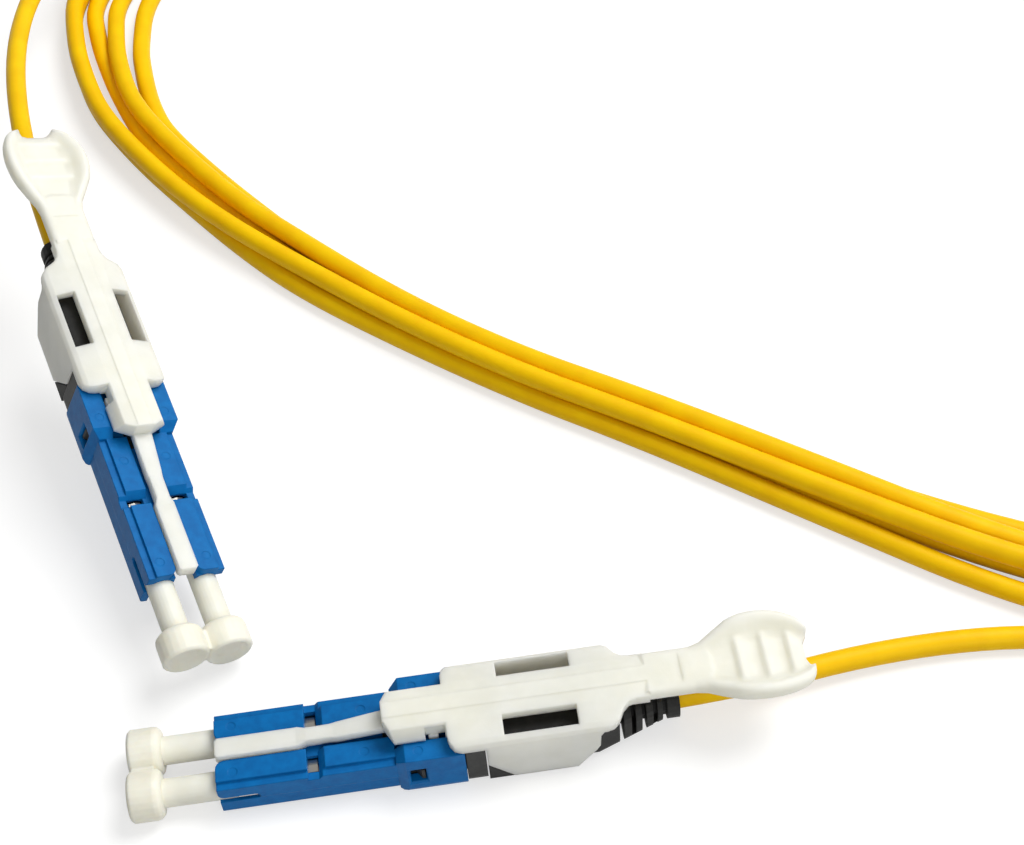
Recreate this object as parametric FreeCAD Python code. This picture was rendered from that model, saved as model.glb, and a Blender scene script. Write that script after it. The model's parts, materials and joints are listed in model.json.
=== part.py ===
import FreeCAD, Part
import math
import os
from FreeCAD import Placement, Rotation, Vector

os.makedirs("parts", exist_ok=True)

# Duplex fibre patch cord, millimetres.
# Connector frame: x runs forward to the mating face at x = 0, y across, z up, ferrule axes at z = 0.

REACH = 12.0              # how far a cutting shape runs on past the piece
ROUND_STEPS = 3           # flats in a moulded corner
HIDDEN_SIDES = 12         # flats of the round pieces and bores inside

# Optical interface
FERRULE_PITCH = 3.8
FERRULE_D = 1.25
FERRULE_TIP_X = 0.8
FERRULE_TIP_CHAMFER = 0.15
FERRULE_SEAT_X = -7.0
PLUG_D = 2.25             # dust cap plug
SLIDE_GAP = 0.1           # clearance of every sliding fit, on the diameter
FRONT_BORE_D = PLUG_D + SLIDE_GAP
AXIS_Y = FERRULE_PITCH / 2

# Ferrule flange and spring
STOP_FRONT_X = -4.6
STOP_REAR_X = -5.6
STOP_GAP = 0.05
FERRULE_HOLE_D = FERRULE_D + 2 * SLIDE_GAP
FLANGE_D = 2.1
FLANGE_BORE_D = FLANGE_D + 2 * SLIDE_GAP
FLANGE_FRONT_X = STOP_REAR_X - STOP_GAP
FLANGE_REAR_X = -7.8
FLANGE_TAIL_X = -9.4
FLANGE_TAIL_D = 1.25
FIBRE_BORE_D = 0.6
SPRING_D = 1.8
SPRING_WIRE = 0.2
SPRING_TURNS = 4
SPRING_TURN_STEPS = 8
SPRING_END_X = -13.4

# Front housing: slim front section
FRONT_WALL = 0.29
PARTING_STEP = 0.07
FRONT_HALF_W = AXIS_Y + FLANGE_BORE_D / 2 + FRONT_WALL
LOWER_HALF_W = FRONT_HALF_W - PARTING_STEP
PARTING_Z = -0.15
FRONT_BOTTOM_Z = -1.78
FRONT_EDGE_R = 0.3
SHOULDER_Z = 1.65
PAD_Z = 1.95
PAD_OUT_Y = AXIS_Y + 0.83
TONGUE_HALF_W = 0.82
CHANNEL_HALF_W = TONGUE_HALF_W + SLIDE_GAP
CHANNEL_FLOOR_Z = 1.3
PAD_CORNER_R = 0.7
NOTCH_FRONT_X = -7.04
NOTCH_FLOOR_END_X = -7.9
NOTCH_REAR_X = -8.46
NOTCH_FLOOR_Z = 1.3
WINDOW_IN_Y = AXIS_Y - 0.65
WINDOW_OUT_Y = AXIS_Y + 0.8
SLOT_IN_Y = AXIS_Y + 0.7
SLOT_END_X = -3.17
SLOT_TOP_Z = 0.45
SLOT_BOTTOM_Z = -0.28
JAW_R = 0.5
MARK_D = 0.76
MARK_DEPTH = 0.03

# Front housing: rear block and cavity
CAVITY_FRONT_X = -10.0
CAVITY_HALF_W = AXIS_Y + SPRING_D / 2 + 2 * SLIDE_GAP
CAVITY_Z = (-1.25, SPRING_D / 2 + SLIDE_GAP)
BLOCK_CAVITY_X = -14.2
BLOCK_CAVITY_TOP_Z = 1.1
BLOCK_WALL = 0.84
BLOCK_TOE_X = -13.85
BLOCK_FRONT_X = -14.6
BLOCK_REAR_X = -19.15
BLOCK_HALF_W = CAVITY_HALF_W + BLOCK_WALL
BLOCK_TOP_Z = 2.66
BLOCK_BOTTOM_Z = -2.05
BLOCK_EDGE_R = 0.8
BLOCK_CHANNEL_HALF_W = 2.1
BLOCK_CHANNEL_Z = 1.5
LATCH_HOLE_X = (-18.4, -13.0)
LATCH_HOLE_HALF_W = 0.88
SIDE_WINDOW_X = (-16.05, -14.82)
SIDE_WINDOW_Z = (-0.5, 1.28)
SIDE_WINDOW_BEVEL = 0.14
EJECTOR_MARKS = [(-1.33, AXIS_Y + 0.14, PAD_Z), (-11.5, AXIS_Y, PAD_Z), (-15.64, AXIS_Y + 1.03, BLOCK_TOP_Z)]

# Back body and crimp sleeve
BODY_GAP = 0.1            # back body to the housing walls
BODY_FRONT_X = -10.2
COLLAR_GAP = 0.05
COLLAR_L = 1.55
COLLAR_FRONT_X = BLOCK_REAR_X - COLLAR_GAP
COLLAR_REAR_X = COLLAR_FRONT_X - COLLAR_L
COLLAR_HALF_W = BLOCK_HALF_W - 0.14
COLLAR_Z = (-1.92, 2.58)
COLLAR_EDGE_R = 0.8
HOOK_X = (-15.95, -15.2)
HOOK_FLAT = 0.25
HOOK_ROOT = 0.4
HOOK_OUT_Y = BLOCK_HALF_W - 0.24
HOOK_Z = (-0.4, 0.8)
FIBRE_ROOM_L = 1.0
TAIL_BORE_D = 1.3
TAIL_D = 2.6
TAIL_L = 4.85
TAIL_REAR_X = COLLAR_REAR_X - TAIL_L
SLEEVE_D = 3.3
SLEEVE_OVERRUN = 1.0
SLEEVE_X = (TAIL_REAR_X - SLEEVE_OVERRUN, COLLAR_REAR_X - 0.45)

# Strain relief boot
BOOT_GAP = 0.1
BOOT_FRONT_X = COLLAR_REAR_X - BOOT_GAP
BOOT_BOX_REAR_X = -29.6
BOOT_HALF_W = 3.0
BOOT_Z = (-1.9, 2.45)
BOOT_EDGE_R = 0.8
BOOT_TAPER_END_X = -35.0
BOOT_END_X = -36.3
BOOT_END_HALF = 1.35
BOOT_END_R = 1.08
BOOT_SLOTS_X = [-31.5, -32.5, -33.38, -34.3, -35.1]
BOOT_SLOT_W = 0.36
BOOT_SLOT_IN_Y = 0.5
BOOT_CHEEK_HALF_W = COLLAR_HALF_W - 0.08
BOOT_CHEEK_TOP_Z = 0.3
BOOT_CHEEK_L = 2.1
BOOT_KEEL_Z = -1.05

# Push-pull tab: section across the saddle, half side, from the ridge outwards
TAB_HALF_W = BLOCK_HALF_W + 0.01
TAB_RIDGE_HALF_W = 0.71
TAB_TOP_Z = 4.43
TAB_STEP = 0.06
TAB_KNEE = (1.72, 4.2)
TAB_EDGE = (TAB_HALF_W - 0.55, 3.74)
TAB_ROUND = (TAB_HALF_W - 0.19, 3.5)
TAB_ROUND_Z = 3.1
TAB_WALL = 0.58
TAB_WALL_IN_Y = TAB_HALF_W - TAB_WALL
TAB_UNDER_Z = 2.8
TAB_CEILING_Z = 3.45
TAB_CEILING_DROP = 0.05
TAB_SHOULDER_Z = 3.0
TAB_STEP_X = -33.8
SADDLE_FRONT_X = -18.0
SKIRT_FRONT_X = COLLAR_REAR_X - 0.07
SKIRT_BOTTOM_Z = -1.54
SKIRT_BOTTOM_X = (-27.8, -22.85)
SKIRT_FRONT_Z = 0.6
SKIRT_REAR = [(-29.3, 0.52), (-29.6, 1.1), (-29.68, 2.5), (-29.95, 2.95)]
TAB_WINDOW_X = (-28.1, -22.35)
NECK_HALF_W = 1.95
NECK_UNDER_Z = 3.2
NECK_RAMP = (0.5, 0.3)    # length and drop of the ramp where the neck meets the hood
NECK_NOSE_T = 0.4
NECK_NOSE = [(-36.5, 1.3), (-37.6, 1.55), (-38.25, 1.7), (-38.75, 1.38), (-39.05, 0.75)]
NECK_ROOT_X = -31.0
NECK_ROOT_Z = 4.1
TAB_PLAN = [(SADDLE_FRONT_X, TAB_HALF_W - 1.15), (-18.12, TAB_HALF_W - 0.65), (-18.45, TAB_HALF_W - 0.2),
            (-19.0, TAB_HALF_W), (-30.2, TAB_HALF_W), (-30.75, TAB_HALF_W - 0.15), (-31.2, TAB_HALF_W - 0.55),
            (-31.65, NECK_HALF_W + 0.55), (-32.1, NECK_HALF_W + 0.15), (-32.7, NECK_HALF_W)]
NARROW_FRONT_X = -13.2
NARROW_CORNER_X = -13.95
NARROW_TOP_HALF_W = 1.71
NARROW_HALF_W = 2.25
NARROW_FLANK_Z = 3.05
WAIST_X = (-17.9, -16.35)
WAIST_HALF_W = 1.76
WAIST_TOP_Z = 3.9
LEG_X = (-17.35, -16.6)
LEG_HALF_W = 1.95
LEG_BOTTOM_Z = 1.62
LEG_ROOT_Z = 2.9

# Push-pull tab: tongue, side profile top and underside, and its half widths in plan
TONGUE_FRONT_X = -0.05
TONGUE_TIP_CHAMFER = 0.2
TONGUE_TOP = [(TONGUE_FRONT_X, 2.42), (-6.4, 2.42), (-7.2, 2.58), (-9.3, 2.62), (-13.3, 3.15), (-14.0, 3.3)]
TONGUE_UNDER = [(-14.0, 2.8), (-13.3, 2.45), (-9.3, 1.75), (-7.2, 1.65), (-6.4, 1.45), (TONGUE_FRONT_X, 1.45)]
TONGUE_PLAN = [(TONGUE_FRONT_X, TONGUE_HALF_W - TONGUE_TIP_CHAMFER),
               (TONGUE_FRONT_X - TONGUE_TIP_CHAMFER, TONGUE_HALF_W), (-6.5, TONGUE_HALF_W),
               (-7.1, TONGUE_HALF_W - 0.24), (-9.0, TONGUE_HALF_W - 0.24), (-9.6, TONGUE_HALF_W - 0.16),
               (-13.3, TONGUE_HALF_W), (-14.0, TONGUE_HALF_W)]

# Push-pull tab: thumb handle, its rim as (x, half width, top)
HANDLE_RIM = [(TAB_STEP_X, NECK_HALF_W, TAB_TOP_Z), (-35.8, NECK_HALF_W, TAB_TOP_Z),
              (-37.4, NECK_HALF_W, TAB_TOP_Z), (-38.3, 2.16, 4.55), (-39.3, 2.74, 4.86),
              (-40.5, 3.37, 5.26), (-42.3, 3.74, 5.5), (-44.3, 3.6, 5.38),
              (-46.0, 2.95, 5.08), (-46.45, 2.55, 4.94), (-46.7, 2.1, 4.8)]
HANDLE_T = TAB_TOP_Z - NECK_UNDER_Z
HANDLE_CROWN_T = 0.35     # extra thickness at the highest place of the rim
HANDLE_EDGE_R = 0.5
DISH_FRONT_X = -37.0
DISH_FLOOR_Z = (4.3, 4.15)  # at its front and rear
DISH_FLOOR_T = 0.9
DISH_FLOOR_SHARE = 0.45   # of the half width
DISH_BANK = [(0.75, 0.82), (0.38, 0.3)]  # hollow slope from rim to floor as shares (out, up)
HORN_NOTCH = [(-46.22, 0.75), (-46.42, 1.2), (-46.7, 1.65)]
GRIP_X = [-41.05, -43.1, -45.1]
GRIP_FACE = (0.3, 0.0)    # grip ridge as (along, up): foot of its face, crest, low back
GRIP_CREST = (-0.05, 0.32)
GRIP_BACK = (-0.6, 0.13)

# Dust cap
PLUG_REAR_X = -1.35
PLUG_BORE_D = FERRULE_D + SLIDE_GAP
PLUG_BORE_END_X = 3.6
HEAD_SIDES = 24
HEAD_R = 1.99
HEAD_FRONT_X = 6.92
HEAD_L = 2.62
HEAD_REAR_R = 0.6
HEAD_FRONT_R = 0.2
HEAD_DISH_R = 1.6
HEAD_DISH_FLOOR_R = 1.1
HEAD_DISH_DEPTH = 0.4
WEB_HALF_W = 0.6
WEB_HALF_H = 0.95

# Cord
CORD_D = 1.9
CORD_BORE_D = 1.94

# Where the two connectors lie: connector a flat on its block, connector b held up by its own cord
PLUG_B_X = -2.1
PLUG_B_Y = 15.77
PLUG_B_Z = 4.73
PLACE_A = Placement(Vector(0, 0, -BLOCK_BOTTOM_Z), Rotation(180, 0, 0))
PLACE_B = Placement(Vector(PLUG_B_X, PLUG_B_Y, PLUG_B_Z), Rotation(-74.39, 11.14, -24.34))

# Cord route in the same floor frame: lead points, then the middle line of the coiled turns
LEAD_A_RUN = [(39.5, 0.0, 2.0), (55.0, 2.5, 1.05), (68.3, 1.52, CORD_D / 2)]
LEAD_B_AXIS_X = -38.6
LEAD_B_RUN = [(-15.25, 66.0, 13.7), (-16.7, 80.5, 11.9), (-16.0, 94.5, 8.9), (-10.8, 106.5, 4.95)]
TANGENT_SHARE = 0.45      # of the shorter run, given to each bend
COIL_LINE = [(-9.3, 101.0), (-8.6, 90.0), (-4.5, 77.0), (3.0, 64.0), (15.0, 49.0), (34.0, 32.5), (52.0, 19.0),
             (67.0, 8.6), (80.0, 2.2), (91.0, 4.5), (98.0, 15.0), (101.0, 32.0), (101.5, 54.0), (99.5, 77.0),
             (91.5, 97.0), (75.0, 110.5), (53.0, 116.0), (31.0, 118.5), (11.0, 117.0), (-3.0, 111.0)]
COIL_STEPS = 52
COIL_W = 8.6
COIL_H = 3.8


def box(x, y, z):
    return Part.makeBox(x[1] - x[0], y[1] - y[0], z[1] - z[0], Vector(x[0], y[0], z[0]))


def centred_box(x, half_w, z):
    return box(x, (-half_w, half_w), z)


def face(points):
    return Part.Face(Part.makePolygon(points + points[:1]))


def side_prism(profile, y):
    """Side view outline of (x, z) points, drawn out across y."""
    return face([Vector(x, y[0], z) for x, z in profile]).extrude(Vector(0, y[1] - y[0], 0))


def plan_prism(outline, z):
    """Plan outline of (x, y) points, drawn out upwards."""
    return face([Vector(x, y, z[0]) for x, y in outline]).extrude(Vector(0, 0, z[1] - z[0]))


def end_prism(section, x):
    """Section of (y, z) points, drawn out along x."""
    return face([Vector(x[0], y, z) for y, z in section]).extrude(Vector(x[1] - x[0], 0, 0))


def ring(centre, d, sides=HIDDEN_SIDES):
    """Points round a circle about (a, b)."""
    out = []
    for i in range(sides):
        turn = 2 * math.pi * i / sides
        out.append((centre[0] + d / 2 * math.cos(turn), centre[1] + d / 2 * math.sin(turn)))
    return out


def hidden_rod(x, d, y=0.0):
    """Round piece or bore inside the connector, as a prism."""
    return end_prism(ring((y, 0), d), x)


def mirrored(half):
    """Half outline of (along, across) points closed by its mirror image."""
    return half + [(a, -b) for a, b in reversed(half)]


def mirrored_section(half):
    """Half section of (across, up) points closed by its mirror image."""
    return half + [(-a, b) for a, b in reversed(half)]


def both_sides(shape):
    return shape.fuse(shape.mirror(Vector(0, 0, 0), Vector(0, 1, 0)))


def merged(base, pieces):
    return base.multiFuse(pieces).removeSplitter()


def quarter(centre, r, start, steps):
    """Points of a quarter circle about (a, b), from the start direction on."""
    out = []
    for i in range(steps + 1):
        turn = start + math.pi / 2 * i / steps
        out.append((centre[0] + r * math.cos(turn), centre[1] + r * math.sin(turn)))
    return out


def rounded_rectangle(half_w, z, low_r, top_r):
    """Section of (y, z) points, its lower and upper corners rounded; a radius of 0 leaves them square."""
    corners = [(half_w - top_r, z[1] - top_r, top_r), (-half_w + top_r, z[1] - top_r, top_r),
               (-half_w + low_r, z[0] + low_r, low_r), (half_w - low_r, z[0] + low_r, low_r)]
    out = []
    for i, (y, up, r) in enumerate(corners):
        if r:
            out += quarter((y, up), r, math.pi / 2 * i, ROUND_STEPS)
        else:
            out.append((y, up))
    return out


def section_wire(x, section):
    points = [Vector(x, y, z) for y, z in section]
    return Part.makePolygon(points + points[:1])


def front_section():
    low = quarter((LOWER_HALF_W - FRONT_EDGE_R, FRONT_BOTTOM_Z + FRONT_EDGE_R), FRONT_EDGE_R, -math.pi / 2,
                  ROUND_STEPS)
    half = [(0, FRONT_BOTTOM_Z)] + low + [
        (LOWER_HALF_W, PARTING_Z), (FRONT_HALF_W, PARTING_Z), (FRONT_HALF_W, SHOULDER_Z),
        (PAD_OUT_Y, SHOULDER_Z), (PAD_OUT_Y, PAD_Z), (0, PAD_Z)]
    return mirrored_section(half)


def rear_block():
    block = end_prism(rounded_rectangle(BLOCK_HALF_W, (BLOCK_BOTTOM_Z, BLOCK_TOP_Z), BLOCK_EDGE_R, 0),
                      (BLOCK_REAR_X, BLOCK_TOE_X))
    wide = (-REACH, REACH)
    ahead = BLOCK_TOE_X + REACH
    top_ramp = [(BLOCK_TOE_X, PAD_Z), (ahead, PAD_Z), (ahead, REACH), (BLOCK_FRONT_X, REACH),
                (BLOCK_FRONT_X, BLOCK_TOP_Z)]
    toe_ramp = [(BLOCK_TOE_X, FRONT_BOTTOM_Z), (ahead, FRONT_BOTTOM_Z), (ahead, -REACH),
                (BLOCK_FRONT_X, -REACH), (BLOCK_FRONT_X, BLOCK_BOTTOM_Z)]
    side_ramp = [(BLOCK_TOE_X, FRONT_HALF_W), (ahead, FRONT_HALF_W), (ahead, REACH), (BLOCK_FRONT_X, REACH),
                 (BLOCK_FRONT_X, BLOCK_HALF_W)]
    return block.cut([side_prism(top_ramp, wide), side_prism(toe_ramp, wide),
                      both_sides(plan_prism(side_ramp, wide))])


def front_openings():
    """Everything the tongue, the notch, the guide slots and the marks take out of the slim front."""
    wide = (-REACH, REACH)
    notch = [(NOTCH_FRONT_X, REACH), (NOTCH_FRONT_X, NOTCH_FLOOR_Z), (NOTCH_FLOOR_END_X, NOTCH_FLOOR_Z),
             (NOTCH_REAR_X, PAD_Z), (NOTCH_REAR_X, REACH)]
    corner = quarter((-PAD_CORNER_R, CHANNEL_HALF_W + PAD_CORNER_R), PAD_CORNER_R, -math.pi / 2,
                     2 * ROUND_STEPS)
    corner += [(REACH, CHANNEL_HALF_W + PAD_CORNER_R), (REACH, 0), (-PAD_CORNER_R, 0)]
    jaw = quarter((-JAW_R, SLOT_TOP_Z + JAW_R), JAW_R, -math.pi / 2, 2 * ROUND_STEPS)
    jaw += [(REACH, SLOT_TOP_Z + JAW_R), (REACH, SLOT_TOP_Z)]
    slot_r = (SLOT_TOP_Z - SLOT_BOTTOM_Z) / 2
    slot_end = (SLOT_END_X + slot_r, SLOT_BOTTOM_Z + slot_r)
    slot = quarter(slot_end, slot_r, math.pi / 2, ROUND_STEPS)[:-1]
    slot += quarter(slot_end, slot_r, math.pi, ROUND_STEPS)
    slot += [(REACH, SLOT_BOTTOM_Z), (REACH, SLOT_TOP_Z)]
    outer_wall = (SLOT_IN_Y, REACH)
    cuts = [centred_box((BLOCK_FRONT_X, REACH), CHANNEL_HALF_W, (CHANNEL_FLOOR_Z, REACH)),
            centred_box((SLOT_END_X, REACH), CHANNEL_HALF_W, wide),
            centred_box((SLOT_END_X, REACH), SLOT_IN_Y, (-REACH, SLOT_TOP_Z)),
            side_prism(notch, wide),
            both_sides(plan_prism(corner, (CHANNEL_FLOOR_Z, REACH))),
            both_sides(side_prism(slot, outer_wall)),
            both_sides(side_prism(jaw, outer_wall)),
            both_sides(box((NOTCH_FLOOR_END_X, NOTCH_FRONT_X), (WINDOW_IN_Y, WINDOW_OUT_Y), (0, REACH)))]
    for x, y, z in EJECTOR_MARKS:
        cuts.append(both_sides(plan_prism(ring((x, y), MARK_D), (z - MARK_DEPTH, REACH))))
    return cuts


def side_window():
    """Hole in the block's side for the hook, its outer edges bevelled."""
    def opening(y, grow):
        x = (SIDE_WINDOW_X[0] - grow, SIDE_WINDOW_X[1] + grow)
        z = (SIDE_WINDOW_Z[0] - grow, SIDE_WINDOW_Z[1] + grow)
        corners = [Vector(a, y, b) for a, b in ((x[0], z[0]), (x[1], z[0]), (x[1], z[1]), (x[0], z[1]))]
        return Part.makePolygon(corners + corners[:1])

    bevel = Part.makeLoft([opening(BLOCK_HALF_W - SIDE_WINDOW_BEVEL, 0),
                           opening(BLOCK_HALF_W + SIDE_WINDOW_BEVEL, 2 * SIDE_WINDOW_BEVEL)], True, True)
    return box(SIDE_WINDOW_X, (CAVITY_HALF_W - SLIDE_GAP, BLOCK_HALF_W), SIDE_WINDOW_Z).fuse(bevel)


def front_housing():
    body = end_prism(front_section(), (BLOCK_FRONT_X, 0)).fuse(rear_block())
    behind = BLOCK_REAR_X - REACH
    cuts = front_openings()
    cuts += [centred_box((behind, BLOCK_TOE_X), BLOCK_CHANNEL_HALF_W, (BLOCK_CHANNEL_Z, REACH)),
             centred_box(LATCH_HOLE_X, LATCH_HOLE_HALF_W, (0, REACH)),
             centred_box((behind, CAVITY_FRONT_X), CAVITY_HALF_W, CAVITY_Z),
             centred_box((behind, BLOCK_CAVITY_X), CAVITY_HALF_W, (0, BLOCK_CAVITY_TOP_Z)),
             both_sides(side_window())]
    for y in (AXIS_Y, -AXIS_Y):
        cuts += [hidden_rod((STOP_FRONT_X, REACH), FRONT_BORE_D, y),
                 hidden_rod((CAVITY_FRONT_X, 0), FERRULE_HOLE_D, y),
                 hidden_rod((CAVITY_FRONT_X - SLIDE_GAP, STOP_REAR_X), FLANGE_BORE_D, y)]
    return body.cut(cuts).removeSplitter()


def ferrule(y):
    neck_x = FERRULE_TIP_X - FERRULE_TIP_CHAMFER
    tip = Part.makeLoft([section_wire(neck_x, ring((y, 0), FERRULE_D)),
                         section_wire(FERRULE_TIP_X, ring((y, 0), FERRULE_D - 2 * FERRULE_TIP_CHAMFER))],
                        True, True)
    return hidden_rod((FERRULE_SEAT_X, neck_x), FERRULE_D, y).fuse(tip).removeSplitter()


def ferrule_flange(y):
    shape = hidden_rod((FLANGE_REAR_X, FLANGE_FRONT_X), FLANGE_D, y).fuse(
        hidden_rod((FLANGE_TAIL_X, FLANGE_REAR_X), FLANGE_TAIL_D, y))
    return shape.cut([hidden_rod((FERRULE_SEAT_X, REACH), FERRULE_D, y),
                      hidden_rod((FLANGE_TAIL_X - REACH, REACH), FIBRE_BORE_D, y)]).removeSplitter()


def spring(y):
    outer = SPRING_D / 2
    inner = outer - SPRING_WIRE
    travel = FLANGE_REAR_X - SPRING_END_X - SPRING_WIRE
    steps = SPRING_TURNS * SPRING_TURN_STEPS
    sections = []
    for i in range(steps + 1):
        turn = 2 * math.pi * i / SPRING_TURN_STEPS
        x = SPRING_END_X + travel * i / steps
        corners = []
        for r, along in ((inner, x), (outer, x), (outer, x + SPRING_WIRE), (inner, x + SPRING_WIRE)):
            corners.append(Vector(along, y + r * math.cos(turn), r * math.sin(turn)))
        sections.append(Part.makePolygon(corners + corners[:1]))
    return Part.makeLoft(sections, True, True)


def back_body():
    half_w = CAVITY_HALF_W - BODY_GAP
    root = half_w - HOOK_ROOT
    body = centred_box((COLLAR_FRONT_X, BODY_FRONT_X), half_w,
                       (CAVITY_Z[0] + BODY_GAP, CAVITY_Z[1] - BODY_GAP))
    collar = end_prism(rounded_rectangle(COLLAR_HALF_W, COLLAR_Z, COLLAR_EDGE_R, 0),
                       (COLLAR_REAR_X, COLLAR_FRONT_X))
    hook = plan_prism([(HOOK_X[0], root), (HOOK_X[1], root), (HOOK_X[1], half_w),
                       (HOOK_X[0] + HOOK_FLAT, HOOK_OUT_Y), (HOOK_X[0], HOOK_OUT_Y)], HOOK_Z)
    tail = hidden_rod((TAIL_REAR_X, COLLAR_REAR_X), TAIL_D)
    room_end = COLLAR_FRONT_X + FIBRE_ROOM_L
    cuts = [hidden_rod((TAIL_REAR_X - REACH, room_end), TAIL_BORE_D),
            centred_box((COLLAR_FRONT_X, room_end), AXIS_Y + FIBRE_BORE_D, (-FIBRE_BORE_D, FIBRE_BORE_D))]
    for y in (AXIS_Y, -AXIS_Y):
        cuts += [hidden_rod((SPRING_END_X, REACH), SPRING_D + SLIDE_GAP, y),
                 hidden_rod((COLLAR_FRONT_X + FIBRE_ROOM_L / 2, REACH), 2 * FIBRE_BORE_D, y)]
    return merged(body, [collar, both_sides(hook), tail]).cut(cuts).removeSplitter()


def crimp_sleeve():
    return hidden_rod(SLEEVE_X, SLEEVE_D).cut([hidden_rod((TAIL_REAR_X, REACH), TAIL_D),
                                               hidden_rod((SLEEVE_X[0] - REACH, REACH), CORD_BORE_D)])


def strain_relief_boot():
    wide = rounded_rectangle(BOOT_HALF_W, BOOT_Z, BOOT_EDGE_R, BOOT_EDGE_R)
    slim = rounded_rectangle(BOOT_END_HALF, (-BOOT_END_HALF, BOOT_END_HALF), BOOT_END_R, BOOT_END_R)
    taper = Part.makeLoft([section_wire(BOOT_BOX_REAR_X, wide), section_wire(BOOT_TAPER_END_X, slim)],
                          True, True)
    cuts = [hidden_rod((SLEEVE_X[0], REACH), SLEEVE_D),
            hidden_rod((BOOT_END_X - REACH, REACH), CORD_BORE_D)]
    for i, x in enumerate(BOOT_SLOTS_X):
        gap = (x - BOOT_SLOT_W / 2, x + BOOT_SLOT_W / 2)
        low_z = BOOT_KEEL_Z if i % 2 else -REACH
        cuts.append(both_sides(box(gap, (BOOT_SLOT_IN_Y, REACH), (low_z, REACH))))
    cheeks = side_prism([(BOOT_FRONT_X, BOOT_Z[0]), (BOOT_FRONT_X, BOOT_CHEEK_TOP_Z),
                         (BOOT_FRONT_X - BOOT_CHEEK_L, BOOT_Z[0])], (-BOOT_CHEEK_HALF_W, BOOT_CHEEK_HALF_W))
    shape = merged(end_prism(wide, (BOOT_BOX_REAR_X, BOOT_FRONT_X)),
                   [cheeks, taper, end_prism(slim, (BOOT_END_X, BOOT_TAPER_END_X))])
    return shape.cut(cuts).removeSplitter()


def dish_section(half_w, top, under, floor, ridge):
    """Half of a cut across the handle, mirrored: belly, rounded rim, hollow bank and dish floor."""
    crest_y = half_w - HANDLE_EDGE_R
    floor_y = half_w * DISH_FLOOR_SHARE
    half = [(floor_y, min(under, floor - DISH_FLOOR_T))]
    half += quarter((crest_y, under + HANDLE_EDGE_R), HANDLE_EDGE_R, -math.pi / 2, ROUND_STEPS)
    half += quarter((crest_y, top - HANDLE_EDGE_R), HANDLE_EDGE_R, 0, ROUND_STEPS)
    half += [(floor_y + (crest_y - floor_y) * a, floor + (top - floor) * b) for a, b in DISH_BANK]
    half.append((floor_y, floor + ridge))
    return mirrored_section(half)


def handle():
    """Neck and thumb handle: sections across it, lofted, with three grip ridges on the floor of its dish."""
    rim = Part.BSplineCurve()
    rim.interpolate(Points=[Vector(*station) for station in HANDLE_RIM],
                    Parameters=[-station[0] for station in HANDLE_RIM])
    rear = HANDLE_RIM[-1][0]
    rise = max(station[2] for station in HANDLE_RIM) - TAB_TOP_Z
    ridges = {station[0]: 0.0 for station in HANDLE_RIM}
    for x in GRIP_X:
        for ahead, up in (GRIP_FACE, GRIP_CREST, GRIP_BACK):
            ridges[x + ahead] = up
    sections = []
    for x in sorted(ridges, reverse=True):
        p = rim.value(-x)
        under = p.z - HANDLE_T - HANDLE_CROWN_T * (p.z - TAB_TOP_Z) / rise
        along = (x - DISH_FRONT_X) / (rear - DISH_FRONT_X)
        floor = DISH_FLOOR_Z[0] + (DISH_FLOOR_Z[1] - DISH_FLOOR_Z[0]) * along if along > 0 else p.z
        sections.append(section_wire(x, dish_section(p.y, p.z, under, floor, ridges[x])))
    notch = HORN_NOTCH + [(rear - REACH, HORN_NOTCH[-1][1])]
    return Part.makeLoft(sections, True, True).cut(plan_prism(mirrored(notch), (0, REACH)))


def saddle():
    """Hood over the boot: ridge, knees and skirts, hollow inside, with a window on each side of the ridge."""
    wide = (-REACH, REACH)
    top = [(0, TAB_TOP_Z), (TAB_RIDGE_HALF_W, TAB_TOP_Z), (TAB_RIDGE_HALF_W, TAB_TOP_Z - TAB_STEP), TAB_KNEE,
           TAB_EDGE, TAB_ROUND, (TAB_HALF_W, TAB_ROUND_Z), (TAB_HALF_W, SKIRT_BOTTOM_Z), (0, SKIRT_BOTTOM_Z)]
    hood = end_prism(mirrored_section(top), (TAB_STEP_X, SADDLE_FRONT_X))
    hood = hood.common(plan_prism(mirrored(TAB_PLAN + [(TAB_STEP_X - REACH, NECK_HALF_W)]), wide))
    room = [(0, TAB_CEILING_Z), (TAB_KNEE[0], TAB_CEILING_Z - TAB_CEILING_DROP),
            (TAB_WALL_IN_Y, TAB_SHOULDER_Z), (TAB_WALL_IN_Y, -REACH), (0, -REACH)]
    behind_x = TAB_STEP_X - REACH
    ahead = [(0, TAB_UNDER_Z), (SKIRT_FRONT_X, TAB_UNDER_Z), (SKIRT_FRONT_X, SKIRT_FRONT_Z),
             (SKIRT_BOTTOM_X[1], SKIRT_BOTTOM_Z), (SKIRT_BOTTOM_X[1], -REACH), (0, -REACH)]
    behind = [(SKIRT_BOTTOM_X[0], SKIRT_BOTTOM_Z)] + SKIRT_REAR + [
        (behind_x, SKIRT_REAR[-1][1]), (behind_x, -REACH), (SKIRT_BOTTOM_X[0], -REACH)]
    window = box(TAB_WINDOW_X, (TAB_KNEE[0], TAB_WALL_IN_Y), (0, REACH))
    return hood.cut([end_prism(mirrored_section(room), (behind_x, SKIRT_FRONT_X)), side_prism(ahead, wide),
                     side_prism(behind, wide), both_sides(window)])


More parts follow.
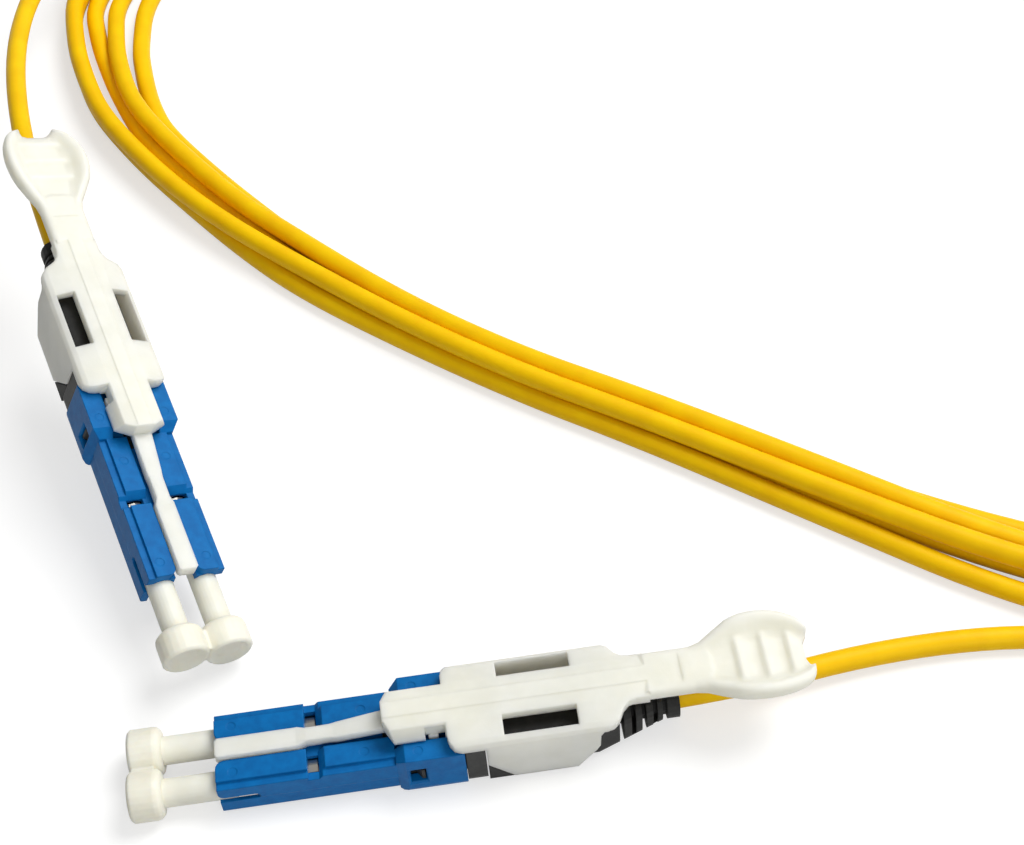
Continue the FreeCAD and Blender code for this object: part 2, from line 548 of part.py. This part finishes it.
def pull_tab():
    ramp_x = TAB_STEP_X + NECK_RAMP[0]
    ramp_y = NECK_HALF_W - HANDLE_EDGE_R / 2
    ramp = side_prism([(TAB_STEP_X, NECK_UNDER_Z), (TAB_STEP_X, TAB_TOP_Z),
                       (ramp_x, TAB_TOP_Z - NECK_RAMP[1]), (ramp_x, NECK_UNDER_Z)], (-ramp_y, ramp_y))
    nose = plan_prism(mirrored(NECK_NOSE), (TAB_TOP_Z - NECK_NOSE_T, TAB_TOP_Z))
    neck_root = centred_box((TAB_STEP_X, NECK_ROOT_X), NECK_HALF_W, (NECK_UNDER_Z, NECK_ROOT_Z))
    narrow = [(0, TAB_TOP_Z), (TAB_RIDGE_HALF_W, TAB_TOP_Z), (TAB_RIDGE_HALF_W, TAB_TOP_Z - TAB_STEP),
              (NARROW_TOP_HALF_W, TAB_KNEE[1]), (NARROW_HALF_W, NARROW_FLANK_Z), (NARROW_HALF_W, TAB_UNDER_Z),
              (0, TAB_UNDER_Z)]
    bridge = end_prism(mirrored_section(narrow), (TAB_PLAN[3][0], NARROW_FRONT_X))
    plan = [(TAB_PLAN[3][0], NARROW_HALF_W), (NARROW_CORNER_X, NARROW_HALF_W),
            (NARROW_FRONT_X, TONGUE_HALF_W)]
    bridge = bridge.common(plan_prism(mirrored(plan), (0, REACH)))
    bridge = bridge.cut(both_sides(box(WAIST_X, (WAIST_HALF_W, REACH), (0, WAIST_TOP_Z))))
    leg = centred_box(LEG_X, LEG_HALF_W, (LEG_BOTTOM_Z, LEG_ROOT_Z))
    tongue = side_prism(TONGUE_TOP + TONGUE_UNDER, (-REACH, REACH))
    tongue = tongue.common(plan_prism(mirrored(TONGUE_PLAN), (0, REACH)))
    return merged(saddle(), [ramp, nose, neck_root, bridge, leg, tongue, handle()])


def turned(profile, y):
    """Round piece along x, from its profile of (x, radius) points."""
    return Part.makeLoft([section_wire(x, ring((y, 0), 2 * r, HEAD_SIDES)) for x, r in profile], True, True)


def cap_head(y):
    rear_x = HEAD_FRONT_X - HEAD_L
    rear_corner = quarter((rear_x + HEAD_REAR_R, HEAD_R - HEAD_REAR_R), HEAD_REAR_R, math.pi / 2,
                          ROUND_STEPS)
    head = turned(rear_corner[::-1] + [(HEAD_FRONT_X - HEAD_FRONT_R, HEAD_R),
                                       (HEAD_FRONT_X, HEAD_R - HEAD_FRONT_R)], y)
    dish = turned([(HEAD_FRONT_X - HEAD_DISH_DEPTH, HEAD_DISH_FLOOR_R), (HEAD_FRONT_X, HEAD_DISH_R),
                   (HEAD_FRONT_X + REACH, HEAD_DISH_R)], y)
    return head.cut(dish)


def dust_cap():
    """Two heads joined by a web, each with a hollow plug that slides over a ferrule."""
    neck_x = HEAD_FRONT_X - HEAD_L + HEAD_REAR_R
    web = centred_box((neck_x, HEAD_FRONT_X - HEAD_FRONT_R), WEB_HALF_W, (-WEB_HALF_H, WEB_HALF_H))
    pieces = []
    bores = []
    for y in (AXIS_Y, -AXIS_Y):
        pieces += [cap_head(y), turned([(PLUG_REAR_X, PLUG_D / 2), (neck_x, PLUG_D / 2)], y)]
        bores.append(hidden_rod((PLUG_REAR_X - REACH, PLUG_BORE_END_X), PLUG_BORE_D, y))
    return merged(web, pieces).cut(bores).removeSplitter()


def cord_tube(points):
    """Straight runs joined by tangent arcs, swept with the cord's round section."""
    pts = [Vector(*p) for p in points]
    edges = []
    radii = []
    at = pts[0]
    for before, corner, after in zip(pts, pts[1:], pts[2:]):
        u = (corner - before).normalize()
        v = (after - corner).normalize()
        half_turn = math.acos(max(-1, min(1, u.dot(v)))) / 2
        back = TANGENT_SHARE * min((corner - before).Length, (after - corner).Length)
        radius = back / math.tan(half_turn)
        radii.append(round(radius, 1))
        start = corner - u * back
        end = corner + v * back
        middle = corner + (v - u).normalize() * (radius / math.cos(half_turn) - radius)
        edges.append(Part.LineSegment(at, start).toShape())
        edges.append(Part.Arc(start, middle, end).toShape())
        at = end
    edges.append(Part.LineSegment(at, pts[-1]).toShape())
    path = Part.Wire(edges)
    ahead = (pts[1] - pts[0]).normalize()
    side = ahead.cross(Vector(0, 0, 1)).normalize()
    section = face([pts[0] + side * a + side.cross(ahead) * b for a, b in ring((0, 0), CORD_D)])
    tube = path.makePipeShell([section.OuterWire], True, False)
    ratio = tube.Volume / (section.Area * path.Length)
    print("cord length", round(path.Length, 1), "bend radii", radii, "volume ratio", round(ratio, 4))
    return tube


def cord_coil():
    """The laid turns as one closed ring, as wide and as high as the bundle."""
    line = Part.BSplineCurve()
    line.interpolate([Vector(x, y, 0) for x, y in COIL_LINE], True)
    first, last = line.FirstParameter, line.LastParameter
    inner, outer = [], []
    for i in range(COIL_STEPS):
        t = first + (last - first) * i / COIL_STEPS
        p = line.value(t)
        d = line.tangent(t)[0]
        side = Vector(-d.y, d.x, 0) * (COIL_W / 2)
        inner.append(p + side)
        outer.append(p - side)
    ring = Part.Face([Part.makePolygon(outer + outer[:1]), Part.makePolygon(inner + inner[:1])])
    ring.validate()
    return ring.extrude(Vector(0, 0, COIL_H))


def connector():
    nodes = {"dust_cap": dust_cap(), "front_housing": front_housing(), "back_body": back_body(),
             "crimp_sleeve": crimp_sleeve(), "strain_relief_boot": strain_relief_boot(),
             "pull_tab": pull_tab()}
    for name, y in (("left", AXIS_Y), ("right", -AXIS_Y)):
        nodes["ferrule_" + name] = ferrule(y)
        nodes["ferrule_flange_" + name] = ferrule_flange(y)
        nodes["spring_" + name] = spring(y)
    return nodes


def placed(shape, place):
    out = shape.copy()
    out.Placement = place.multiply(out.Placement)
    return out


def main():
    one = connector()
    nodes = {}
    for end, place in (("a", PLACE_A), ("b", PLACE_B)):
        for name, shape in one.items():
            nodes[name + "_" + end] = placed(shape, place)
    total = FreeCAD.BoundBox()
    for shape in nodes.values():
        total.add(shape.optimalBoundingBox(True, False))
    start_a = PLACE_A.multVec(Vector(TAIL_REAR_X, 0, 0))
    start_b = PLACE_B.multVec(Vector(TAIL_REAR_X, 0, 0))
    bend_b = PLACE_B.multVec(Vector(LEAD_B_AXIS_X, 0, 0))
    nodes["cord_lead_a"] = cord_tube([tuple(start_a)] + LEAD_A_RUN)
    nodes["cord_lead_b"] = cord_tube([tuple(start_b), tuple(bend_b)] + LEAD_B_RUN)
    nodes["cord_coil"] = cord_coil()
    shift = Vector(-(total.XMin + total.XMax) / 2, -(total.YMin + total.YMax) / 2, -total.ZMin)
    print("shift to the frame", shift)
    for name, shape in nodes.items():
        shape.translate(shift)
        print(name, shape.isValid(), len(shape.Solids), round(shape.Volume, 2))
        shape.Solids[0].exportStep("parts/" + name + ".step")


main()
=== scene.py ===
import json
import math

import bpy
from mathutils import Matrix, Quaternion, Vector

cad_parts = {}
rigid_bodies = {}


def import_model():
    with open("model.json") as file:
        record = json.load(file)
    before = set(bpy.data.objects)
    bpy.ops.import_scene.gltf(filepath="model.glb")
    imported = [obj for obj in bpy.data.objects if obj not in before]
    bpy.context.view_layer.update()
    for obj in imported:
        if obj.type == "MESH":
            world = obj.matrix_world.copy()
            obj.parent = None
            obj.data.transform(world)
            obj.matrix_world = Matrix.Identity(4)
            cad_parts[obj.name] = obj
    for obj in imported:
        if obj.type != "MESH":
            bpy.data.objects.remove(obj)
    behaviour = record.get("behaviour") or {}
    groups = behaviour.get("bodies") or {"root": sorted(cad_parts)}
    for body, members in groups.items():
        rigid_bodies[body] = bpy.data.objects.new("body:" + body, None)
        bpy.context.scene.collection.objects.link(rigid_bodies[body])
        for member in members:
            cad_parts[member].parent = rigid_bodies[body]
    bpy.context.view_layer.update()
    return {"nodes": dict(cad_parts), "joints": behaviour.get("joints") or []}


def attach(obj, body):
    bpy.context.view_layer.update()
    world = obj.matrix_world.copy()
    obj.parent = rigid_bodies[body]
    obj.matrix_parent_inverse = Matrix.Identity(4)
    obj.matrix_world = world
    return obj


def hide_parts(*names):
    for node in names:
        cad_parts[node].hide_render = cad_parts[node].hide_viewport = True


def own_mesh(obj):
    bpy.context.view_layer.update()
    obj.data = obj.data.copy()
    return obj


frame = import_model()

MM = 0.001
SHIFT = (-15.8205, -28.2272, 0.0)  # from the floor frame of part.py, in which the route is, to the row's

# Cord: a 2 m stock length with its making allowance, from boot to boot
CORD_D = 1.9
LOW = CORD_D / 2                   # height of a strand that lies on the floor
LEAD_A = [(25.6, 0.0, 2.05), (39.5, 0.0, 2.0), (55.0, 2.5, 1.05), (68.3, 1.52, LOW)]
LEAD_B = [(-10.8, 106.5, 6.6), (-15.2, 95.5, 9.3), (-16.7, 81.5, 11.8), (-15.25, 66.0, 13.7),
          (-12.29, 52.24, 12.19), (-8.86, 39.96, 9.68)]

# Painted shade in the boots' slots: a thin black sleeve on the lead's first bend, where the slots show it
SLOT_SHADE_WALL = 0.06
SLOT_SHADE_SPAN = (0.21, 0.42)
SLOT_SHADE_STEPS = 6

# How round a tube is drawn, how many points shape each of its bends, and how finely the bends are drawn
TUBE_ROUNDING = 6
BEND_POINTS = 3
BEND_STEPS = 8

# The five strands of the bundle in view, each from the upper left to the right: one and the strand below it,
# the strand in the shade, the one that climbs over it, and the inner one
NEAR = [
    [(-13.3, 101.5, 2.75), (-12.8, 91.3, 2.75), (-11.5, 85.1, 2.75), (-10.2, 80.6, 2.75), (-8.5, 76.8, 2.75),
     (-5.3, 71.2, 2.75), (-1.3, 65.2, 2.75), (3.6, 59.2, 2.75), (9.2, 53.4, 2.7), (18.4, 44.3, 2.65),
     (28.7, 35.5, 2.65), (38.3, 28.75, 2.65), (52.0, 18.2, 2.75), (66.5, 7.6, 2.8)],
    [(-13.6, 102.1, LOW), (-13.3, 93.7, LOW), (-11.9, 87.3, LOW), (-10.7, 82.6, LOW), (-9.0, 78.7, LOW),
     (-5.6, 72.5, LOW), (-1.7, 66.5, LOW), (4.1, 58.1, LOW), (9.6, 51.4, LOW), (18.2, 43.4, LOW),
     (28.5, 34.7, LOW), (38.2, 27.6, LOW), (51.8, 16.6, LOW), (66.0, 5.2, LOW)],
    [(-11.5, 101.6, LOW), (-10.7, 93.7, LOW), (-9.2, 87.2, LOW), (-8.2, 83.7, LOW), (-6.7, 79.2, LOW),
     (-4.8, 74.9, LOW), (0.3, 67.3, LOW), (5.0, 60.6, LOW), (10.7, 53.1, LOW), (18.5, 45.8, LOW),
     (28.9, 36.9, LOW), (38.5, 29.7, LOW), (52.2, 18.5, LOW), (66.8, 8.0, LOW)],
    [(-8.7, 101.0, 1.0), (-8.6, 92.5, 1.9), (-8.2, 88.2, 2.4), (-7.1, 82.4, 2.7), (-5.4, 78.2, 2.7),
     (-3.3, 74.4, 2.65), (-0.3, 69.6, 2.6), (3.7, 63.7, 2.6), (7.5, 59.1, 2.6), (18.5, 46.8, 2.55),
     (28.9, 37.7, 2.55), (38.75, 30.85, 2.6), (52.4, 20.4, 2.75), (67.2, 9.6, 2.0)],
    [(-5.4, 100.4, LOW), (-6.1, 91.5, LOW), (-5.8, 87.9, LOW), (-5.3, 83.9, LOW), (-4.6, 80.7, LOW),
     (-3.3, 76.8, LOW), (1.9, 68.5, LOW), (6.6, 61.9, LOW), (12.0, 54.6, LOW), (18.7, 48.1, LOW),
     (29.2, 38.9, LOW), (38.9, 31.7, LOW), (52.8, 20.9, LOW), (67.9, 11.4, LOW)],
]

# The turns' far side, past the edge of the picture, and where its line joins the bundle's
FAR = [(80.0, 2.2), (91.0, 4.5), (98.0, 15.0), (101.0, 32.0), (101.5, 54.0), (99.5, 77.0), (91.5, 97.0),
       (75.0, 110.5), (53.0, 116.0), (31.0, 118.5), (11.0, 117.0), (-3.0, 111.0)]
FAR_ENDS = [(67.0, 8.6), (-9.3, 101.0)]
# Each turn's far side: how far outside that line it starts and ends, its bulge, and its heights where it
# crosses another
TURNS = [
    (5.2, 4.1, 1.0, {5: 1.2, 6: 2.0, 7: 2.5, 8: 2.75, 9: 2.85, 10: 2.85, 11: 2.8}),
    (0.8, 4.0, 1.2, {0: 2.85, 1: 2.85, 2: 2.85, 3: 2.85, 4: 2.7, 5: 1.9}),
    (3.6, 2.0, -1.2, {}),
    (0.5, -0.6, -1.4, {}),
    (-1.4, -3.9, -1.0, {0: 1.3}),
    (-3.6, 5.0, -1.0, {0: 1.3, 1: 2.2, 2: 2.75, 3: 2.9, 4: 2.9, 5: 2.9, 6: 2.9, 7: 2.95, 8: 3.2, 9: 4.0,
                       10: 4.8, 11: 5.8}),
]

# Where the thumb handles lie, and the rounding of the white tab's edges
HANDLES = [(42.2, 0.0, 6.65), (-11.2, 55.38, 17.0)]
HANDLE_REACH = (7.2, 8.6)          # from a handle's middle, where its rounding ends and the tab's begins
HANDLE_EDGE = 0.55
TAB_EDGE = 0.22

# Moulded surfaces: where the cloud's two colours stand, and how the grain shows
CLOUD_STOPS = (0.35, 0.65)
NOISE_DETAIL = 3.0
GLOSS_SPREAD = 0.07
GRAIN_STRENGTH = 0.5
EDGE_SAMPLES = 8

# Studio, in metres and watts: the paper, the room's light from left to right, the point that the lamps face,
# and each lamp's place, size and power
PAPER_SIZE = 3.0
PAPER_GLOW = 0.58                  # lifts the paper to white where it is seen, also in a reflection
ROOM_LIGHT = (0.1, 0.6)
LIT_POINT = (0.01, 0.0, 0.0)
SOFTBOXES = {"softbox_right": ((0.24, 0.1, 0.40), 0.3, 1.8),
             "softbox_front": ((0.08, -0.42, 0.26), 0.35, 0.65)}

# Camera, with its place and aim in the floor frame
CAMERA = (20.5543, -78.0444, 130.8161)
CAMERA_AIM = (27.215, 32.207, 0.0)
CAMERA_ROLL = -5.2                 # degrees
CAMERA_LENS = 66.57
CAMERA_SENSOR = 36.0
CAMERA_NEAREST = 0.005             # metres


def in_row(point):
    """Floor frame in millimetres to the row's frame in metres."""
    return Vector([(p + s) * MM for p, s in zip(point, SHIFT)])


def far_side(start, end, bulge, heights):
    """Points of one turn's far side, each moved out from the line along its own normal."""
    line = FAR_ENDS[:1] + FAR + FAR_ENDS[1:]
    points = []
    for i, (x, y) in enumerate(FAR):
        along = (Vector(line[i + 2]) - Vector(line[i])).normalized()
        t = (i + 1) / (len(FAR) + 1)
        out = start + (end - start) * t * t * (3 - 2 * t) + bulge * math.sin(math.pi * t)
        points.append((x + along.y * out, y - along.x * out, heights.get(i, LOW)))
    return points


def cord_route():
    points = list(LEAD_A)
    for turn, strand in zip(TURNS, NEAR + [LEAD_B]):
        points += far_side(*turn) + strand
    return [in_row(point) for point in points]


def hex_colour(code):
    """sRGB hex to linear."""
    values = [int(code[i:i + 2], 16) / 255 for i in (1, 3, 5)]
    return [v / 12.92 if v <= 0.04045 else ((v + 0.055) / 1.055) ** 2.4 for v in values] + [1.0]


def add(owner, kind, **settings):
    """Adds a node; a setting is an input's value, the output that feeds an input, or the node's property."""
    tree = owner.node_tree
    node = tree.nodes.new("ShaderNode" + kind)
    for name, value in settings.items():
        socket = node.inputs.get(name.replace("_", " "))
        if isinstance(value, bpy.types.NodeSocket):
            tree.links.new(value, socket)
        elif socket:
            socket.default_value = value
        else:
            setattr(node, name, value)
    return node


def new_material(name):
    material = bpy.data.materials.new(name)
    material.use_nodes = True
    return material, material.node_tree.nodes["Principled BSDF"]


def moulded(name, dark, light, roughness, mottle_mm, grain_mm, grain_depth_mm, edge_mm, specular=0.5):
    """Plastic or ceramic: colour that clouds a little, grain as coarse as it needs to show, soft edges."""
    material, shader = new_material(name)
    link = material.node_tree.links.new
    place = add(material, "TexCoord")
    mm = add(material, "VectorMath", operation="SCALE", Vector=place.outputs["Object"], Scale=1 / MM)
    cloud = add(material, "TexNoise", Vector=mm.outputs["Vector"], Scale=1 / mottle_mm, Detail=NOISE_DETAIL)
    tint = add(material, "ValToRGB", Fac=cloud.outputs["Fac"])
    for stop, at, colour in zip(tint.color_ramp.elements, CLOUD_STOPS, (dark, light)):
        stop.position = at
        stop.color = hex_colour(colour)
    link(tint.outputs["Color"], shader.inputs["Base Color"])
    grain = add(material, "TexNoise", Vector=mm.outputs["Vector"], Scale=1 / grain_mm, Detail=NOISE_DETAIL)
    gloss = add(material, "MapRange", Value=grain.outputs["Fac"], To_Min=roughness - GLOSS_SPREAD,
                To_Max=roughness + GLOSS_SPREAD)
    link(gloss.outputs["Result"], shader.inputs["Roughness"])
    edge = add(material, "Bevel", samples=EDGE_SAMPLES, Radius=edge_mm * MM)
    edge.name = "edge"
    bumps = add(material, "Bump", Strength=GRAIN_STRENGTH, Distance=grain_depth_mm * MM,
                Height=grain.outputs["Fac"], Normal=edge.outputs["Normal"])
    link(bumps.outputs["Normal"], shader.inputs["Normal"])
    shader.inputs["Specular IOR Level"].default_value = specular
    return material


def translucent(material, weight, radius_mm):
    """Light that goes into the plastic and out again, so that thin edges glow."""
    shader = material.node_tree.nodes["Principled BSDF"]
    shader.inputs["Subsurface Weight"].default_value = weight
    shader.inputs["Subsurface Radius"].default_value = radius_mm
    shader.inputs["Subsurface Scale"].default_value = MM


def round_handles(material):
    """The thumb handles have larger edge rounding than the rest of the tab."""
    place = add(material, "TexCoord")
    gaps = []
    for handle in HANDLES:
        gap = add(material, "VectorMath", operation="DISTANCE", Vector=place.outputs["Object"])
        gap.inputs[1].default_value = in_row(handle)
        gaps.append(gap.outputs["Value"])
    nearest = add(material, "Math", operation="MINIMUM")
    for socket, gap in zip(nearest.inputs, gaps):
        material.node_tree.links.new(gap, socket)
    radius = add(material, "MapRange", Value=nearest.outputs["Value"], From_Min=HANDLE_REACH[0] * MM,
                 From_Max=HANDLE_REACH[1] * MM, To_Min=HANDLE_EDGE * MM, To_Max=TAB_EDGE * MM)
    material.node_tree.links.new(radius.outputs["Result"], material.node_tree.nodes["edge"].inputs["Radius"])


def metal(name, colour, roughness):
    material, shader = new_material(name)
    shader.inputs["Base Color"].default_value = hex_colour(colour)
    shader.inputs["Metallic"].default_value = 1.0
    shader.inputs["Roughness"].default_value = roughness
    return material


def tube(name, kind, points, radius, finish):
    """A round piece along a line of points."""
    data = bpy.data.curves.new(name, "CURVE")
    data.dimensions = "3D"
    data.bevel_depth = radius * MM
    data.bevel_resolution = TUBE_ROUNDING
    data.use_fill_caps = True
    data.materials.append(finish)
    spline = data.splines.new(kind)
    spline.points.add(len(points) - 1)
    for control, point in zip(spline.points, points):
        control.co = (*point, 1.0)
    piece = bpy.data.objects.new(name, data)
    bpy.context.scene.collection.objects.link(piece)
    return piece


def cord(jacket):
    """The whole cord as one smooth line: lead, turns and lead."""
    points = cord_route()
    piece = tube("cord", "NURBS", points, CORD_D / 2, jacket)
    spline = piece.data.splines[0]
    spline.order_u = BEND_POINTS
    spline.use_endpoint_u = True
    spline.resolution_u = BEND_STEPS
    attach(piece, "cord_assembly")
    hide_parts("cord_lead_a", "cord_lead_b", "cord_coil")


def painted_slot_shade(name, lead, shade_finish):
    """Painted shade in the boot's slots: a thin black sleeve round the cord. lead starts at the boot."""
    start, bend, after = (in_row(point) for point in lead)
    points = []
    for i in range(SLOT_SHADE_STEPS + 1):
        t = SLOT_SHADE_SPAN[0] + (SLOT_SHADE_SPAN[1] - SLOT_SHADE_SPAN[0]) * i / SLOT_SHADE_STEPS
        # The cord's own curve between these three points
        points.append(start * (1 - t) ** 2 + bend * 2 * t * (1 - t) + (bend + after) / 2 * t ** 2)
    piece = tube(name, "POLY", points, CORD_D / 2 + SLOT_SHADE_WALL, shade_finish)
    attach(piece, "cord_assembly")


def coil_springs(joint):
    """The spring behind a ferrule is drawn as a copy on its own mesh, held by the joint's parent, in place
    of the CAD part.
    """
    for row in joint["deforming_nodes"]:
        name = row["node"]
        node = frame["nodes"][name]
        spring = bpy.data.objects.new("coil_" + name, node.data.copy())
        spring.matrix_world = node.matrix_world
        bpy.context.scene.collection.objects.link(spring)
        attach(spring, joint["parent"])
        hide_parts(name)
        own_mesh(spring)


def stage():
    """White paper: bright to the eye, while the light that it gives back is that of plain pale paper."""
    bpy.ops.mesh.primitive_plane_add(size=PAPER_SIZE, location=(0, 0, 0))
    floor = bpy.context.object
    floor.name = "floor"
    paper, shader = new_material("white_paper")
    shader.inputs["Base Color"].default_value = hex_colour("#C0C0BF")
    shader.inputs["Roughness"].default_value = 0.9
    shader.inputs["Specular IOR Level"].default_value = 0.1
    shader.inputs["Emission Color"].default_value = hex_colour("#FFFFFF")
    ray = add(paper, "LightPath")
    seen = add(paper, "Math", operation="ADD")
    seen_through = add(paper, "Math", operation="ADD")
    glow = add(paper, "Math", operation="MULTIPLY")
    link = paper.node_tree.links.new
    link(ray.outputs["Is Camera Ray"], seen.inputs[0])
    link(ray.outputs["Is Glossy Ray"], seen.inputs[1])
    link(seen.outputs["Value"], seen_through.inputs[0])
    link(ray.outputs["Is Transmission Ray"], seen_through.inputs[1])
    link(seen_through.outputs["Value"], glow.inputs[0])
    glow.inputs[1].default_value = PAPER_GLOW
    link(glow.outputs["Value"], shader.inputs["Emission Strength"])
    floor.data.materials.append(paper)


def softbox(name, place, size, power):
    data = bpy.data.lights.new(name, "AREA")
    data.shape = "DISK"
    data.size = size
    data.energy = power
    lamp = bpy.data.objects.new(name, data)
    lamp.location = place
    lamp.rotation_mode = "QUATERNION"
    lamp.rotation_quaternion = (Vector(LIT_POINT) - Vector(place)).to_track_quat("-Z", "Y")
    bpy.context.scene.collection.objects.link(lamp)


def lights():
    world = bpy.data.worlds.new("studio")
    world.use_nodes = True
    sky = world.node_tree.nodes["Background"]
    sky.inputs["Color"].default_value = hex_colour("#FFFFFF")
    # The room is darker on the left
    place = add(world, "TexCoord")
    side = add(world, "SeparateXYZ", Vector=place.outputs["Generated"])
    level = add(world, "MapRange", Value=side.outputs["X"], From_Min=-1.0, From_Max=1.0,
                To_Min=ROOM_LIGHT[0], To_Max=ROOM_LIGHT[1])
    world.node_tree.links.new(level.outputs["Result"], sky.inputs["Strength"])
    bpy.context.scene.world = world
    for name, settings in SOFTBOXES.items():
        softbox(name, *settings)


def camera():
    data = bpy.data.cameras.new("camera")
    data.lens = CAMERA_LENS
    data.sensor_width = CAMERA_SENSOR
    data.clip_start = CAMERA_NEAREST
    view = bpy.data.objects.new("camera", data)
    view.location = in_row(CAMERA)
    level = (in_row(CAMERA_AIM) - view.location).to_track_quat("-Z", "Y")
    view.rotation_mode = "QUATERNION"
    view.rotation_quaternion = level @ Quaternion((0, 0, 1), math.radians(CAMERA_ROLL))
    bpy.context.scene.collection.objects.link(view)
    bpy.context.scene.camera = view


# PVC cord jacket, drawn through a die: satin, with a very fine grain
pvc_yellow = moulded("pvc_yellow", "#F1BE00", "#F7C800", roughness=0.48, mottle_mm=3.0, grain_mm=0.3,
                     grain_depth_mm=0.012, edge_mm=0.02, specular=0.14)
translucent(pvc_yellow, weight=0.1, radius_mm=(1.0, 0.6, 0.1))
# PBT from a spark-eroded mould: an even satin with fine grain. The white lets some light through
pbt_blue = moulded("pbt_blue", "#0060A2", "#006AAE", roughness=0.48, mottle_mm=0.9, grain_mm=0.16,
                   grain_depth_mm=0.02, edge_mm=0.13, specular=0.14)
pbt_white = moulded("pbt_white", "#E7E6D9", "#EDECE0", roughness=0.48, mottle_mm=2.5, grain_mm=0.16,
                    grain_depth_mm=0.012, edge_mm=TAB_EDGE, specular=0.3)
translucent(pbt_white, weight=0.8, radius_mm=(1.8, 1.7, 1.5))
round_handles(pbt_white)
# Polyethylene, moulded: waxy and a little translucent
pe_white = moulded("pe_white", "#EAE7D7", "#F0EEE0", roughness=0.45, mottle_mm=2.0, grain_mm=0.25,
                   grain_depth_mm=0.01, edge_mm=0.25, specular=0.3)
translucent(pe_white, weight=0.4, radius_mm=(1.2, 1.0, 0.7))
# Glass-filled nylon, moulded: dark grey, with a dry matt grain
nylon_black = moulded("nylon_black", "#262625", "#2F2F2D", roughness=0.55, mottle_mm=0.6, grain_mm=0.14,
                      grain_depth_mm=0.02, edge_mm=0.15, specular=0.3)
# Thermoplastic rubber, moulded: dark grey and dull
tpe_black = moulded("tpe_black", "#1F1F1E", "#282827", roughness=0.65, mottle_mm=0.8, grain_mm=0.14,
                    grain_depth_mm=0.02, edge_mm=0.2, specular=0.3)
# Zirconia ceramic, ground and polished: a smooth bright white
zirconia = moulded("zirconia", "#EEEDE8", "#F2F1EC", roughness=0.18, mottle_mm=1.5, grain_mm=0.1,
                   grain_depth_mm=0.002, edge_mm=0.05)
# Nickel plate on turned brass, warm and bright, and drawn spring wire, a plain grey shine
nickel_plate = metal("nickel_plate", "#C9C4BA", roughness=0.28)
spring_steel = metal("spring_steel", "#B4B4B2", roughness=0.3)

FINISH = {"dust_cap": pe_white, "front_housing": pbt_blue, "back_body": nylon_black,
          "crimp_sleeve": nickel_plate, "strain_relief_boot": tpe_black, "pull_tab": pbt_white,
          "ferrule_left": zirconia, "ferrule_right": zirconia, "ferrule_flange_left": nickel_plate,
          "ferrule_flange_right": nickel_plate, "spring_left": spring_steel, "spring_right": spring_steel}
for end in ("a", "b"):
    for name, finish in FINISH.items():
        mesh = frame["nodes"][name + "_" + end].data
        mesh.materials.clear()
        mesh.materials.append(finish)
cord(pvc_yellow)
# Painted shade in the boots' slots, as thin black sleeves round the cord
painted_slot_shade("boot_web_a", LEAD_A[:3], tpe_black)
painted_slot_shade("boot_web_b", LEAD_B[::-1][:3], tpe_black)
for joint in frame["joints"]:
    if joint.get("deforming_nodes"):
        coil_springs(joint)
stage()
lights()
camera()
bpy.context.scene.view_settings.view_transform = "Standard"
